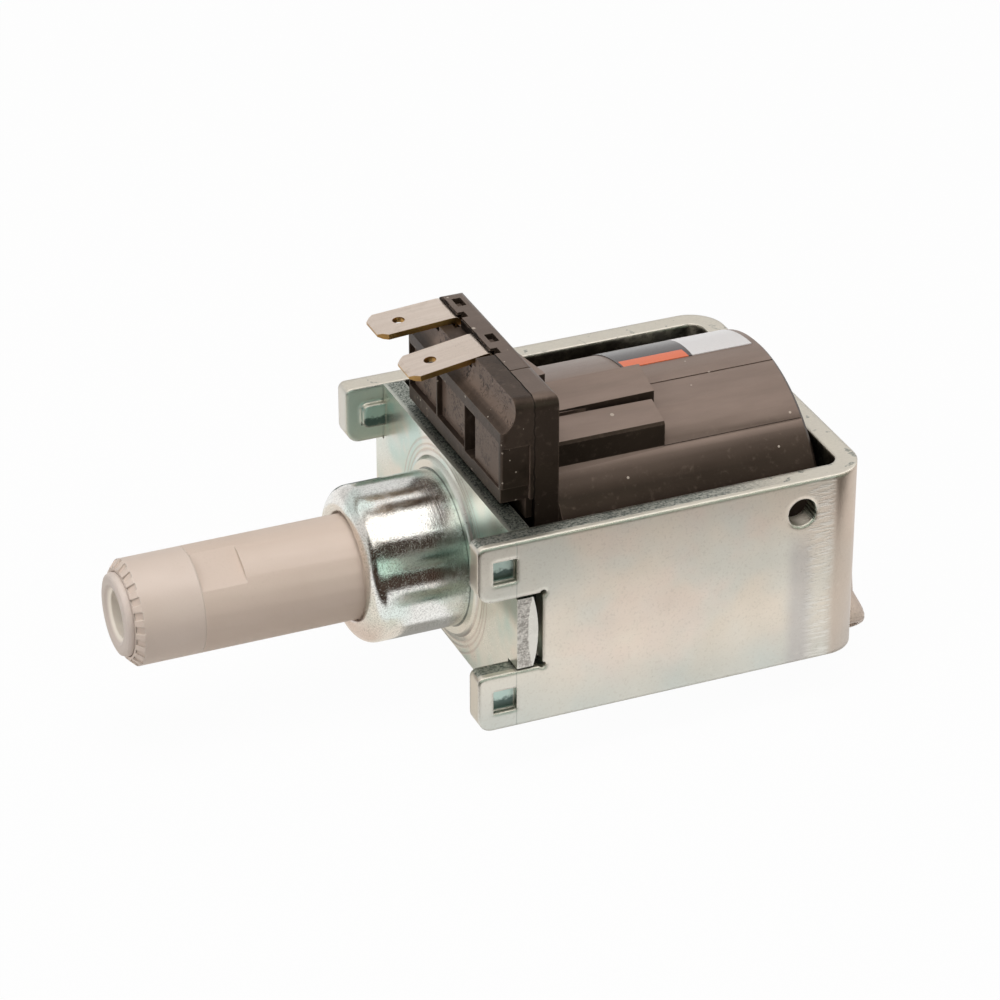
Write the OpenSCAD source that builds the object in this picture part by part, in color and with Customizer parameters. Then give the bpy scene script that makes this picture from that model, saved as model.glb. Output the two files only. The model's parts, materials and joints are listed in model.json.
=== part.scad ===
// Solenoid solution pump: a vibrating-piston pump in a folded steel yoke.
// Millimetres, +Z up. X = 0 is the front ends of the yoke's prongs and X runs back along the pump axis
// to the yoke's closed end. The outlet tube points towards -X and the pump axis is Y = 0, Z = 0.

/* [Yoke] */
// Width over the two legs
yoke_w = 50.6; // [50:0.2:53]
// Height of the yoke strip
yoke_h = 28; // [27:0.5:31]
// Length from the prong fronts to the closed end
yoke_l = 56.85; // [56.4:0.05:58]
// Thickness of the yoke sheet
sheet_t = 3; // [2.6:0.1:3.2]
// Outer radius of the two bends
bend_r = 5; // [4:0.25:6]
// Length of the notch between the prongs
notch_l = 9.25; // [9:0.05:10]
// Height of the notch between the prongs
notch_h = 11.4; // [11.2:0.1:12.4]
// Radius of the relief at each notch corner
relief_r = 0.5; // [0.4:0.05:0.9]
// Length of each stake pocket
stake_l = 3.4; // [2.8:0.1:3.4]
// Height of each stake pocket
stake_h = 3.5; // [2.6:0.1:3.8]
// Depth of each stake pocket
stake_d = 1.1; // [0.6:0.1:1.3]
// Diameter of the hole through each leg
leg_hole_d = 4.2; // [3.4:0.1:5]
// Distance of the leg holes from the closed end
leg_hole_back = 9.92; // [9:0.1:12]
// Height of the leg holes above the pump axis
leg_hole_z = 9.25; // [8:0.25:10]

/* [Front plate and cup] */
// Setback of the front plate from the prong fronts
plate_setback = 5.54; // [5.4:0.02:5.8]
// Thickness of the front plate
plate_t = 3; // [2.8:0.1:3.2]
// Outer diameter of the drawn cup
cup_d = 21.8; // [21.6:0.1:22.6]
// Length of the cup in front of the plate
cup_l = 14.6; // [14:0.05:15]
// Wall of the cup
cup_wall = 0.9; // [0.7:0.05:1]
// Radius of the cup's front edge
cup_edge_r = 2.5; // [1.2:0.1:2.5]
// Height of the ring pressed up round the cup
collar_h = 0.7; // [0.4:0.1:1]
// Width of the ring pressed up round the cup
collar_w = 1.5; // [1:0.1:2]

/* [Outlet tube fitting] */
// Outer diameter of the outlet tube
outlet_d = 14.56; // [14:0.04:14.8]
// Length of the outlet tube in front of the cup
outlet_l = 31.6; // [30.5:0.1:34]
// Length of the fitting's nose
nose_l = 9.4; // [8.6:0.1:10]
// Number of notches round the nose
nose_notches = 22; // [16:1:28]
// Diameter of the flexible tube that pushes in
tube_d = 6.35; // [6:0.05:6.5]
// Depth that the flexible tube pushes in
tube_depth = 14.7; // [14:0.1:16]
// Diameter of the release collet's flange
collet_d = 11.4; // [10.8:0.1:12]
// Travel of the release collet
collet_travel = 0.7; // [0.4:0.05:0.8]
// Width of the spanner flat along the tube
flat_l = 6.3; // [5:0.1:8]
// Depth of the spanner flat
flat_d = 0.66; // [0.3:0.02:0.8]
// Angle of the spanner flat above the near side
flat_angle = 61; // [40:1:80]

/* [Pump inside] */
// Outer diameter of the piston tube
piston_d = 4; // [3.6:0.1:4.2]
// Stroke of the armature
stroke = 6; // [4:0.25:6.5]
// Outer diameter of the armature
armature_d = 11.4; // [11.2:0.05:11.44]
// Length of the armature
armature_l = 25; // [23:0.5:26]
// Outer diameter of the guide tube
guide_d = 14; // [13.7:0.05:14.1]
// Wire diameter of the main spring
main_wire = 1; // [0.8:0.05:1.1]
// Wire diameter of the buffer spring
buffer_wire = 0.7; // [0.5:0.05:0.9]

/* [Coil and terminals] */
// Gap between the coil moulding and each leg of the yoke
coil_side_gap = 1.2; // [0.8:0.1:1.8]
// Height of the coil moulding's centre above the pump axis
coil_rise = 0.4; // [0:0.1:0.6]
// Gap between the coil moulding and the yoke's closed end
coil_gap = 1.05; // [0.8:0.05:1.4]
// Width of the terminal block
block_w = 33.4; // [32.6:0.1:34.5]
// Gap between the terminal cover and the front plate under it
cover_gap = 0.7; // [0.4:0.1:1.2]
// Height of the terminal cover
cover_h = 14.9; // [14:0.1:16.4]
// Radius of the hollow across the front cover
cove_r = 3.2; // [2.6:0.1:3.4]
// Width of each terminal blade
blade_w = 6.3; // [5.6:0.1:6.4]
// Thickness of each terminal blade
blade_t = 0.8; // [0.6:0.05:0.9]
// Length of each blade in front of its bend
blade_l = 11.2; // [10:0.1:12]
// Diameter of the hole in each blade
blade_hole_d = 1.7; // [1.4:0.1:2]
// Distance between the two blades
blade_pitch = 11.45; // [10.8:0.05:11.8]
// Distance of the nearer blade's centre from the pump axis
blade_y = 1.25; // [0.8:0.05:1.6]
// Downward tilt of the nearer blade
blade_tilt_near = 8.5; // [0:0.5:10]
// Downward tilt of the farther blade
blade_tilt_far = 4; // [0:0.5:10]

/* [Inlet elbow] */
// Outer diameter of the elbow's body
elbow_d = 13.2; // [12.6:0.1:14.4]
// Length of the elbow's body behind the guide tube
elbow_l = 5; // [4.6:0.1:7]
// Distance from the pump axis to the end of the inlet barb
inlet_reach = 23.1; // [21:0.1:26]
// Angle of the inlet barb below the near side
inlet_angle = 45; // [30:1:90]
// Diameter of the inlet barb's ridges
barb_d = 4.9; // [4.4:0.1:5.2]
// Diameter of the hole through the inlet barb
inlet_bore_d = 2.4; // [1.8:0.1:2.6]

/* [Hidden] */
e = 0.01;
fine = 96;

// Stations along the pump axis, from the front to the back
plate_front = plate_setback;
plate_back = plate_front + plate_t;
rear_inside = yoke_l - sheet_t;
cup_front = plate_front - cup_l;
lip_back = cup_front + cup_wall;
flange_t = 3.5;
guide_front = lip_back + flange_t;
guide_flange_t = 3;
nose_front = cup_front - outlet_l;
seam_x = nose_front + nose_l;
tube_stop = nose_front + tube_depth;
tube_seal_x = seam_x - 2.8;
cylinder_l = 14;
cylinder_front = guide_front - 8.2;
cylinder_back = cylinder_front + cylinder_l;
seal_l = 2.4;
seal_back = cylinder_back + seal_l;
washer_t = 1;
spring_seat = seal_back + washer_t;
buffer_l = 10.6;
armature_front = spring_seat + buffer_l;
armature_back = armature_front + armature_l;
elbow_seat = yoke_l + 1.3;
plug_l = 4.4;
plug_front = elbow_seat - plug_l;
gap_front = armature_back - 3;
gap_l = 6;
washer_plate_t = 0.6;
piston_in = 3;
piston_tip = cylinder_front + 3.5;

// Radii
cup_r = cup_d / 2;
cup_in_r = cup_r - cup_wall;
outlet_r = outlet_d / 2;
mouth_r = outlet_r + 0.22;
flange_r = cup_in_r;
guide_r = guide_d / 2;
bore_r = 5.8;
plug_r = bore_r - 0.04;
sleeve_out_r = cup_in_r;
tube_r = tube_d / 2;
socket_r = tube_r + 0.025;
passing_r = socket_r + 0.03;
recess_r = collet_d / 2 + 0.1;
recess_l = 1.55;
piston_r = piston_d / 2;
armature_r = armature_d / 2;
collar_r = cup_r + collar_w;
leg_in = yoke_w / 2 - sheet_t;
core_r = sleeve_out_r + 1.2;
coil_r = leg_in - coil_side_gap;
spool_r = coil_r - 1.7;
wound_r = spool_r - 0.8;

// Coil and terminal block
cover_front = plate_front + 1.46;
cover_top_front = cover_front + 1.9;
cover_back = cover_front + 4.6;
carrier_t = 3.5;
coil_front = cover_back + carrier_t;
coil_back = rear_inside - coil_gap;
cheek_t = 1.5;
bobbin_cheek_front = coil_front + 0.8;
bobbin_cheek_back = coil_back - 0.7;
block_bottom = yoke_h / 2 + cover_gap;
block_top = block_bottom + cover_h;
half_block = block_w / 2;
slot_y = [blade_y, blade_y + blade_pitch];
leg_foot = block_bottom - 0.7;
blade_top = block_top - 0.4;
blade_low = blade_top - blade_t;
blade_bend = 0.6;
stand_end = -3.2;
diode_y = -7.4;
diode_z = coil_r - 2.2;
label_l = 19.4;
label_back = coil_back - 1.4;
label_t = 0.12;

// A solid of revolution about the pump axis from points written as [station, radius]
module turned(points) {
    rotate([0, 90, 0])
        rotate_extrude($fn = fine)
            polygon([for (p = points) [p[1], p[0]]]);
}

// A plain cylinder along the pump axis between two stations
module bar(x0, x1, r, sides = fine) {
    translate([x0, 0, 0])
        rotate([0, 90, 0])
            cylinder(h = x1 - x0, r = r, $fn = sides);
}

// A tube along the pump axis between two stations
module pipe(x0, x1, r_out, r_in) {
    difference() {
        bar(x0, x1, r_out);
        bar(x0 - 1, x1 + 1, r_in);
    }
}

// A box between two corners
module block(low, high) {
    translate(low)
        cube(high - low);
}

// A rod across the pump between two Y values
module cross_bar(x, z, y0, y1, r, sides = 48) {
    translate([x, y0, z])
        rotate([-90, 0, 0])
            cylinder(h = y1 - y0, r = r, $fn = sides);
}

// Axial position along a spring with closed ends, as a share of its turns
function coil_lead(s, length, wire, turns, dead) =
    s < dead ? s * wire
    : s > turns - dead ? length - wire - (turns - s) * wire
    : dead * wire + (s - dead) * (length - wire - 2 * dead * wire) / (turns - 2 * dead);

// A compression spring along the pump axis, swept ring by ring
module spring(x0, x1, mean_r, wire, turns, steps = 16, sides = 8, dead = 0.9) {
    n = round(turns * steps);
    length = x1 - x0;
    rings = [for (i = [0:n])
        let (s = i / steps, a = 360 * s, x = x0 + wire / 2 + coil_lead(s, length, wire, turns, dead))
        for (j = [0:sides - 1])
            let (b = 360 * j / sides, r = mean_r + wire / 2 * cos(b))
            [x + wire / 2 * sin(b), r * cos(a), r * sin(a)]];
    skin = [for (i = [0:n - 1])
        for (j = [0:sides - 1])
            let (k = (j + 1) % sides)
            [i * sides + j, i * sides + k, (i + 1) * sides + k, (i + 1) * sides + j]];
    first = [[for (j = [sides - 1:-1:0]) j]];
    last = [[for (j = [0:sides - 1]) n * sides + j]];
    polyhedron(points = rings, faces = concat(skin, first, last));
}

// One bend of the yoke, a quarter ring as tall as the strip
module yoke_bend(side) {
    cx = yoke_l - bend_r;
    cy = yoke_w / 2 - bend_r;
    scale([1, side, 1])
        intersection() {
            difference() {
                translate([cx, cy, -yoke_h / 2])
                    cylinder(h = yoke_h, r = bend_r, $fn = fine);
                translate([cx, cy, -yoke_h / 2 - 1])
                    cylinder(h = yoke_h + 2, r = bend_r - sheet_t, $fn = fine);
            }
            block([cx, cy, -yoke_h], [yoke_l + 1, yoke_w, yoke_h]);
        }
}

// What is cut from a prong corner to leave it round
module corner_cut(x, z, r, way_x, way_z) {
    difference() {
        block([min(x, x + way_x * r) - (way_x > 0 ? 1 : 0), -yoke_w, min(z, z + way_z * r) - (way_z > 0 ? 1 : 0)],
              [max(x, x + way_x * r) + (way_x < 0 ? 1 : 0), yoke_w, max(z, z + way_z * r) + (way_z < 0 ? 1 : 0)]);
        cross_bar(x + way_x * r, z + way_z * r, -yoke_w - 1, yoke_w + 1, r);
    }
}

// Stake pockets are mirrored across both planes of the yoke
module at_stakes() {
    stake_z = (yoke_h / 2 + notch_h / 2) / 2;
    for (side = [-1, 1])
        for (up = [-1, 1])
            scale([1, side, 1])
                translate([plate_front - stake_l, yoke_w / 2, up * stake_z])
                    children();
}

// The boss that a stake pocket pushes out of the inner side, with rounded corners
module stake_boss() {
    r = 0.9;
    half = stake_h / 2 - 0.1;
    low = -sheet_t - stake_d;
    high = -sheet_t + 0.5;
    block([0, low, -half + r], [stake_l, high, half - r]);
    block([r, low, -half], [stake_l, high, half]);
    for (up = [-1, 1])
        cross_bar(r, up * (half - r), low, high, r);
}

module yoke() {
    h = yoke_h / 2;
    color([0.78, 0.77, 0.72])
        difference() {
            union() {
                for (side = [-1, 1]) {
                    scale([1, side, 1])
                        block([0, leg_in, -h], [yoke_l - bend_r, yoke_w / 2, h]);
                    yoke_bend(side);
                }
                block([rear_inside, -yoke_w / 2 + bend_r, -h], [yoke_l, yoke_w / 2 - bend_r, h]);
                at_stakes()
                    stake_boss();
            }
            at_stakes()
                block([0, -stake_d, -stake_h / 2], [stake_l, 1, stake_h / 2]);
            block([-1, -yoke_w, -notch_h / 2], [notch_l, yoke_w, notch_h / 2]);
            for (up = [-1, 1])
                cross_bar(notch_l, up * (notch_h / 2 - relief_r / 3), -yoke_w, yoke_w, relief_r);
            for (up = [-1, 1]) {
                corner_cut(0, up * h, up > 0 ? 1 : 2, 1, -up);
                corner_cut(0, up * notch_h / 2, up > 0 ? 2 : 1, 1, up);
            }
            cross_bar(yoke_l - leg_hole_back, leg_hole_z, -yoke_w, yoke_w, leg_hole_d / 2);
            bar(rear_inside - 1, yoke_l + 1, sleeve_out_r);
        }
}

module front_plate() {
    h = yoke_h / 2;
    tab_h = notch_h - 0.8;
    side = leg_in - 0.1;
    color([0.76, 0.77, 0.73])
        difference() {
            union() {
                block([plate_front, -side, -h], [plate_back, side, h]);
                intersection() {
                    block([plate_front, -yoke_w / 2, -tab_h / 2], [plate_back, yoke_w / 2, tab_h / 2]);
                    cross_bar(plate_back - 20, 0, -yoke_w, yoke_w, 20, 192);
                }
                turned([[plate_front, 0], [plate_front, collar_r + 0.8], [plate_front - 0.15, collar_r + 0.25],
                    [plate_front - collar_h + 0.25, collar_r], [plate_front - collar_h, collar_r - 0.3],
                    [plate_front - collar_h, 0]]);
            }
            bar(0, plate_back + 1, cup_r);
        }
}

module front_cup() {
    steps = 14;
    edge = [for (i = [0:steps])
        let (a = 90 * i / steps)
        [cup_front + cup_edge_r * (1 - sin(a)), cup_r - cup_edge_r * (1 - cos(a))]];
    in_r = cup_edge_r - cup_wall;
    inner = [for (i = [0:steps])
        let (a = 90 * i / steps)
        [lip_back + in_r * (1 - cos(a)), cup_in_r - in_r * (1 - sin(a))]];
    color([0.82, 0.83, 0.82])
        turned(concat([[plate_back, cup_in_r], [plate_back, cup_r]], edge,
            [[cup_front, mouth_r + 0.8], [cup_front + 0.14, mouth_r + 0.3], [cup_front + 0.42, mouth_r],
                [lip_back, mouth_r]], inner));
}

module outlet_body() {
    boss_front = seam_x + 0.5;
    color([0.87, 0.83, 0.77])
        difference() {
            union() {
                bar(seam_x, guide_front, outlet_r);
                turned([[lip_back, 0], [lip_back, flange_r - 1.2], [lip_back + 1.2, flange_r - 0.05],
                    [guide_front, flange_r - 0.05], [guide_front, 0]]);
            }
            // The nose's end sits round a short boss that the tube slides through
            bar(seam_x - 1, boss_front, 6);
            pipe(boss_front - 1, seam_x + 1.5, 6, 5.15);
            bar(seam_x - 1, tube_stop, socket_r);
            bar(tube_stop - 1, cylinder_front, 1.3);
            bar(cylinder_front - 6.2, cylinder_front + 1, 2.9);
            bar(cylinder_front, guide_front + 1, bore_r - 0.1);
            rotate([180 - flat_angle, 0, 0])
                block([seam_x + 0.1, outlet_r - flat_d, -outlet_r], [seam_x + 0.1 + flat_l, outlet_r + 1, outlet_r]);
        }
}

module fitting_nose() {
    notch_depth = 0.7;
    land_back = nose_front + recess_l + 0.2;
    color([0.88, 0.84, 0.78])
        difference() {
            turned([[nose_front + recess_l, 4.5], [nose_front + recess_l, recess_r], [nose_front, recess_r],
                [nose_front, outlet_r - 0.9], [nose_front + 0.9, outlet_r], [seam_x - 0.04, outlet_r],
                [seam_x, outlet_r - 0.04], [seam_x, 6], [seam_x + 1.5, 6], [seam_x + 1.5, 5.2],
                [nose_front + 3.4, 5.2], [land_back, 4.75], [land_back, 4.5]]);
            for (i = [0:nose_notches - 1])
                rotate([360 * i / nose_notches, 0, 0])
                    translate([nose_front, 0, outlet_r - 0.1])
                        rotate([0, -48, 0])
                            cube([notch_depth * 2, outlet_r * 3.1 / nose_notches, 1.7], center = true);
        }
}

module release_collet() {
    flange_back = nose_front + recess_l - collet_travel - 0.1;
    flange_front = flange_back - 1.8;
    tip = nose_front + 3.3 - collet_travel;
    r_in = passing_r;
    r = collet_d / 2;
    color([0.86, 0.83, 0.8])
        difference() {
            turned([[flange_front, r_in + 0.9], [flange_front, r - 0.6], [flange_front + 0.18, r - 0.18],
                [flange_front + 0.6, r], [flange_back, r], [flange_back, 4.3], [tip - 0.9, 4.3],
                [tip - 0.7, 4.6], [tip - 0.3, 4.6], [tip, 4.3], [tip, r_in], [flange_front + 0.7, r_in]]);
            for (i = [0:3])
                rotate([45 + 90 * i, 0, 0])
                    block([flange_back + 0.3, -0.35, 0], [tip + 1, 0.35, 6]);
        }
}

module grab_ring() {
    x0 = nose_front + 3.4;
    color([0.7, 0.71, 0.72])
        difference() {
            pipe(x0, x0 + 0.35, 5.2, passing_r);
            for (i = [0:11])
                rotate([30 * i, 0, 0])
                    block([x0 - 1, -0.2, 0], [x0 + 1, 0.2, 4.4]);
        }
}

module backup_ring() {
    color([0.3, 0.32, 0.35])
        pipe(nose_front + 3.75, tube_seal_x, 5.2, passing_r);
}

module tube_seal() {
    color([0.1, 0.1, 0.1])
        seal_ring(tube_seal_x, passing_r, 5.2);
}

// A round-section seal ring between two radii
module seal_ring(x0, r_in, r_out) {
    section = (r_out - r_in) / 2;
    translate([x0 + section, 0, 0])
        rotate([0, 90, 0])
            rotate_extrude($fn = 64)
                translate([r_in + section, 0])
                    circle(r = section, $fn = 24);
}

module outlet_valve() {
    head_t = 1.2;
    color([0.2, 0.2, 0.22])
        turned([[cylinder_front, 0], [cylinder_front, 2.2], [cylinder_front - head_t + 0.2, 2.2],
            [cylinder_front - head_t, 2], [cylinder_front - head_t, 0.7], [cylinder_front - 4.6, 0.7],
            [cylinder_front - 5, 0.4], [cylinder_front - 5, 0]]);
}

module outlet_spring() {
    color([0.75, 0.76, 0.78])
        spring(cylinder_front - 6.2, cylinder_front - 1.2, 1.6, 0.35, 5, 12, 6);
}

module pump_cylinder() {
    wall_r = bore_r - 0.1;
    color([0.8, 0.66, 0.36])
        turned([[cylinder_front, 1.2], [cylinder_front, wall_r - 0.3], [cylinder_front + 0.3, wall_r],
            [cylinder_back, wall_r], [cylinder_back, piston_r + 0.1], [cylinder_front + 1, piston_r + 0.1],
            [cylinder_front + 1, 1.2]]);
}

module body_seal() {
    color([0.1, 0.1, 0.1])
        seal_ring(guide_front, bore_r + 1.1, flange_r - 0.9);
}

module guide_tube() {
    groove_in = bore_r + 1.1;
    groove_out = flange_r - 0.9;
    color([0.85, 0.82, 0.75])
        turned([[guide_front, bore_r], [guide_front, groove_in], [guide_front + groove_out - groove_in, groove_in],
            [guide_front + groove_out - groove_in, groove_out], [guide_front, groove_out],
            [guide_front, flange_r - 0.05], [guide_front + guide_flange_t, flange_r - 0.05],
            [guide_front + guide_flange_t, guide_r], [elbow_seat, guide_r], [elbow_seat, bore_r]]);
}

module piston_seal() {
    color([0.12, 0.12, 0.13])
        turned([[cylinder_back, bore_r], [cylinder_back, 3.4], [cylinder_back + 1.2, 2.8],
            [cylinder_back + 0.2, piston_r + 0.05], [seal_back, piston_r + 0.05], [seal_back, bore_r]]);
}

module seal_washer() {
    color([0.8, 0.66, 0.36])
        pipe(seal_back, spring_seat, bore_r, piston_r + 0.3);
}

module front_flux_sleeve() {
    color([0.55, 0.56, 0.57])
        pipe(guide_front + guide_flange_t, gap_front, sleeve_out_r, guide_r);
}

module gap_ring() {
    color([0.9, 0.89, 0.85])
        pipe(gap_front, gap_front + gap_l, sleeve_out_r, guide_r);
}

module rear_flux_sleeve() {
    color([0.55, 0.56, 0.57])
        pipe(gap_front + gap_l, yoke_l, sleeve_out_r, guide_r);
}

module armature() {
    color([0.6, 0.6, 0.61])
        difference() {
            turned([[armature_front, piston_r], [armature_front, armature_r - 0.5],
                [armature_front + 0.5, armature_r], [armature_back - 0.5, armature_r],
                [armature_back, armature_r - 0.5], [armature_back, 2.6], [armature_back - 3, 2.6],
                [armature_back - 3, 1.6], [armature_front + piston_in, 1.6], [armature_front + piston_in, piston_r]]);
            for (i = [0:3])
                rotate([45 + 90 * i, 0, 0])
                    block([armature_front - 1, -0.5, armature_r - 0.6],
                          [armature_back + 1, 0.5, armature_r + 1]);
        }
}

module piston() {
    color([0.8, 0.81, 0.82])
        turned([[piston_tip, 0.85], [piston_tip, piston_r - 0.15], [piston_tip + 0.15, piston_r],
            [armature_front + piston_in, piston_r], [armature_front + piston_in, 1.3],
            [piston_tip + 2.3, 1.3], [piston_tip + 2.3, 0.85]]);
}

module suction_valve() {
    color([0.25, 0.25, 0.27])
        turned([[piston_tip - 0.8, 0], [piston_tip - 0.8, 1.4], [piston_tip - 0.6, 1.65], [piston_tip, 1.65],
            [piston_tip, 0.5], [piston_tip + 3.8, 0.5], [piston_tip + 3.8, 1], [piston_tip + 4.5, 1],
            [piston_tip + 4.5, 0]]);
}

module suction_spring() {
    color([0.75, 0.76, 0.78])
        spring(piston_tip + 2.3, piston_tip + 3.8, 0.95, 0.2, 4, 10, 6);
}

module buffer_spring() {
    color([0.72, 0.73, 0.75])
        spring(spring_seat, armature_front, 4.6, buffer_wire, 5.5, 16, 8);
}

module main_spring() {
    color([0.68, 0.69, 0.72])
        spring(armature_back, plug_front, 4.4, main_wire, 5.2, 16, 8);
}

module bobbin() {
    color([0.2, 0.2, 0.2])
        turned([[plate_back, sleeve_out_r], [plate_back, core_r], [bobbin_cheek_front, core_r],
            [bobbin_cheek_front, spool_r], [bobbin_cheek_front + cheek_t, spool_r],
            [bobbin_cheek_front + cheek_t, core_r], [bobbin_cheek_back - cheek_t, core_r],
            [bobbin_cheek_back - cheek_t, spool_r], [bobbin_cheek_back, spool_r],
            [bobbin_cheek_back, core_r], [rear_inside - 0.1, core_r], [rear_inside - 0.1, sleeve_out_r]]);
}

module winding() {
    color([0.72, 0.4, 0.2])
        pipe(bobbin_cheek_front + cheek_t, bobbin_cheek_back - cheek_t, wound_r, core_r);
}

// The upright plate behind the terminal cover, with its two rounded top corners
module carrier() {
    half = half_block;
    top_r = 1.8;
    block([cover_back, -half, 0], [coil_front + e, half, block_top - top_r]);
    block([cover_back, -half + top_r, block_top - top_r - e], [coil_front + e, half - top_r, block_top]);
    for (side = [-1, 1])
        translate([0, side * (half - top_r), block_top - top_r])
            bar(cover_back, coil_front + e, top_r, 48);
    bar(cover_back, coil_front + e, half);
}

// The raised pad behind the carrier, in two steps with a slit between them that opens to the back
module pad() {
    low_back = coil_front + 16.9;
    high_back = coil_front + 17.5;
    foot = coil_r - 8;
    difference() {
        union() {
            translate([coil_front - e, 0, coil_r])
                rotate([90, 0, 90])
                    linear_extrude(height = low_back - coil_front)
                        polygon([[-13.4, -8], [-13.4, -1.2], [-13.1, -0.8], [-8.6, 0.65], [-8.6, -8]]);
            translate([coil_front - e, 0, coil_r])
                rotate([90, 0, 90])
                    linear_extrude(height = high_back - coil_front)
                        polygon([[-8.9, -6], [-8.9, 1.1], [-8.6, 1.3], [-3.5, 3], [-3.2, 2.7], [-3.2, -6]]);
        }
        translate([coil_front + 3.4, -8.72, foot + 6.4])
            linear_extrude(height = 3)
                polygon([[0, -0.12], [low_back - coil_front, -0.38], [low_back - coil_front, 0.3], [0, 0.12]]);
    }
}

// The two lines along the coil where the mould's parts met
module mould_lines() {
    line_w = 0.3;
    line_d = 0.14;
    for (line = [[101.6, coil_front + 17.5], [129.7, coil_front + 16.7]])
        translate([0, 0, coil_rise])
            rotate([line[0] - 90, 0, 0])
                block([line[1], -line_w / 2, coil_r - line_d], [coil_back + 1, line_w / 2, coil_r + 1]);
}

module coil_moulding() {
    seam_y = -8.2;
    rib_top = block_top - 1;
    color([0.3, 0.27, 0.25])
        difference() {
            union() {
                translate([0, 0, coil_rise])
                    turned([[coil_front, 0], [coil_front, coil_r], [coil_back - 0.5, coil_r],
                        [coil_back, coil_r - 0.5], [coil_back, 0]]);
                carrier();
                pad();
                // The small rib that leans against the back of the carrier
                translate([coil_front - e, 0, 0])
                    linear_extrude(height = rib_top)
                        polygon([[0, -9.2], [1.3, -9], [1.3, -8.2], [0, 0]]);
            }
            bar(0, yoke_l, core_r);
            pipe(bobbin_cheek_front, bobbin_cheek_back, spool_r, core_r - 1);
            diode_shape();
            mould_lines();
            for (y = slot_y) {
                block([cover_back - 1, y - blade_w / 2, leg_foot],
                      [cover_back + blade_t, y + blade_w / 2, blade_top]);
                block([cover_back - 1, y - blade_w / 2 - 1.1, block_top - 1.6],
                      [cover_back + 1.1, y - blade_w / 2 + 0.5, block_top + 1]);
                block([cover_back + 0.9, y - 1, block_top - 0.9], [coil_front - 1.3, y + 1.4, block_top + 1]);
            }
            corner_cut(coil_front, block_top, 0.9, -1, -1);
            block([cover_back - 1, seam_y - 0.1, block_top - 0.15], [coil_front + 0.2, seam_y + 0.1, block_top + 1]);
            // A chamfer along the carrier's front leaves the line where the cover meets it
            block([cover_back - 1, -yoke_w, block_top - 0.3], [cover_back + 0.14, yoke_w, block_top + 1]);
        }
    color([0.3, 0.27, 0.25])
        difference() {
            pipe(bobbin_cheek_front + cheek_t, bobbin_cheek_back - cheek_t, spool_r + e, wound_r);
            diode_shape();
        }
}

// The rectifier and its two leads, which the moulding leaves room for
module diode_shape() {
    body_front = coil_front + 5.6;
    body_l = 5.2;
    lead_l = 2.5;
    translate([0, diode_y, diode_z]) {
        bar(body_front, body_front + body_l, 1.3, 32);
        bar(body_front - lead_l, body_front + body_l + lead_l, 0.35, 24);
    }
}

module rectifier_diode() {
    color([0.12, 0.12, 0.12])
        diode_shape();
}

module terminal_cover() {
    half = half_block;
    top_r = 1.4;
    recess_t = 0.8;
    ledge_z = block_bottom + 2.1;
    brow_z = block_top - 6.2;
    low_top = blade_low - 0.15;
    cove_x = cover_top_front - cove_r;
    cove_z = block_top - 1.6;
    color([0.28, 0.255, 0.235])
        difference() {
            union() {
                block([cover_front, -half, block_bottom], [cover_back, half, block_top - top_r]);
                block([cover_front, -half + top_r, block_top - top_r - e], [cover_back, half - top_r, block_top]);
                for (side = [-1, 1])
                    translate([0, side * (half - top_r), block_top - top_r])
                        bar(cover_front, cover_back, top_r, 48);
                block([cover_back - 1, -half + 0.6, core_r + 0.5], [cover_back, half - 0.6, block_bottom + e]);
            }
            cross_bar(cove_x, cove_z, -yoke_w, yoke_w, cove_r, 64);
            block([0, -yoke_w, cove_z], [cover_top_front, yoke_w, block_top + 1]);
            // Front panel, left deep enough to leave its ledge, its brow and its ribs
            block([cover_front - 1, 6.2, ledge_z], [cover_front + recess_t, half - 0.9, brow_z]);
            block([cover_front - 1, -3.8, ledge_z], [cover_front + recess_t, 5.85, brow_z]);
            block([cover_front - 1, -6.6, ledge_z - 0.4], [cover_front + 3, -3.9, brow_z]);
            block([cover_front - 1, -half + 1.2, ledge_z - 0.2], [cover_front + recess_t / 2, -6.5, brow_z]);
            // Round the two upright front edges and the bottom one
            for (side = [-1, 1])
                upright_round(cover_front, side * half, 0.8, side);
            // The top stands full height only beside the nearer blade
            block([cover_top_front - 1, stand_end, low_top], [cover_back + 1, yoke_w, block_top + 1]);
            for (side = [-1, 1])
                side_steps(side * half, side, ledge_z, brow_z);
            for (y = slot_y) {
                block([cover_top_front - 1, y - blade_w / 2, blade_low - 0.9],
                      [cover_back + 1, y + blade_w / 2, block_top + 1]);
                block([cover_back - 0.9, y - blade_w / 2 - 1.1, blade_low - 0.9],
                      [cover_back + 1, y - blade_w / 2 + 0.5, block_top + 1]);
            }
        }
}

// The shallow steps in each end of the terminal cover, under its brow and at its ledge
module side_steps(y, side, ledge_z, brow_z) {
    depth = 0.3;
    for (step = [[brow_z - 0.5, depth], [ledge_z, 2 * depth]])
        block([cover_front - 1, min(y - side * step[1], y + side), 0],
              [cover_back - 0.6, max(y - side * step[1], y + side), step[0]]);
}

// What is cut from an upright edge to leave it round
module upright_round(x, y, r, side) {
    difference() {
        block([x - 1, min(y - side * r, y + side), 0], [x + r, max(y - side * r, y + side), block_top + 2]);
        translate([x + r, y - side * r, -1])
            cylinder(h = block_top + 4, r = r, $fn = 48);
    }
}

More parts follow.
